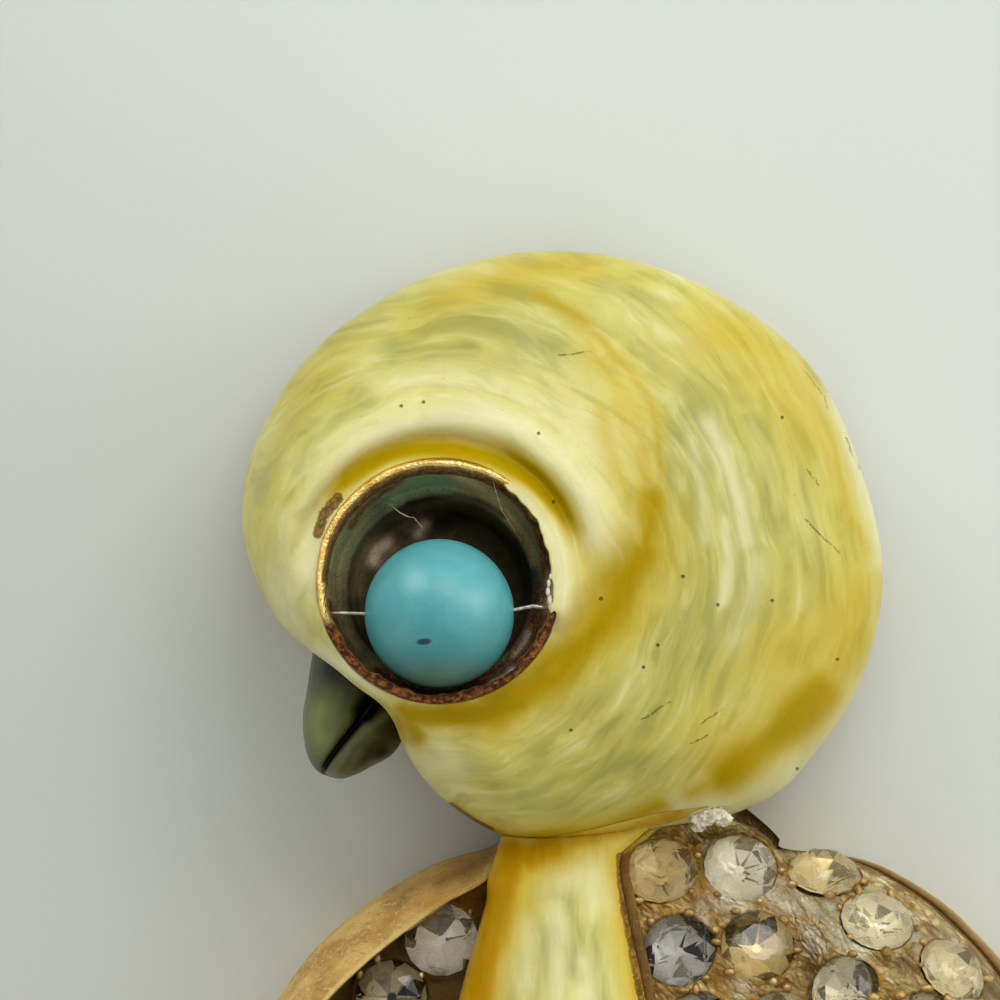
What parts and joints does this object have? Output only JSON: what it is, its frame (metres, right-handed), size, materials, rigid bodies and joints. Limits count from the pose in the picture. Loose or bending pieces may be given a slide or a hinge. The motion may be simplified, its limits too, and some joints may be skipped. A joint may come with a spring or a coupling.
{
  "type": "figural animal brooch",
  "caption": "Bird-shaped brooch with an enamelled head, a bead eye on a wire, a dark beak, and a gold body set with clear stones round an enamelled chest.",
  "frame": {"origin": "on the plane of the back's rims, below the middle of the brooch's outline", "axes": "+Z is the front that is seen when worn, +Y the top of the head, +X the side away from the beak"},
  "size_m": [0.0226, 0.0366, 0.0104],
  "materials": {
    "enamel_head": "glossy cream and yellow enamel, streaked",
    "enamel_chest": "glossy cream enamel, streaked",
    "enamel_beak": "glossy black-green enamel",
    "gold_cup": "polished gold plating, worn",
    "wire": "bright drawn wire",
    "turquoise": "satin polished bead",
    "gold": "gold plating, grained and tarnished",
    "stones": "foil-backed clear cut glass, aged",
    "stones_dark": "foil-backed clear cut glass, aged",
    "gold_pin": "gold plating"
  },
  "bodies": {
    "root": {"head": "enamel_head", "beak": "enamel_beak", "eye_cup": "gold_cup", "eye_wire": "wire", "eye_bead": "turquoise", "casting": "gold", "chest": "enamel_chest", "left_stones": "stones_dark", "flank_stones": "stones", "wing_stones": "stones", "pin_finding": "gold_pin"}
  },
  "joints": []
}
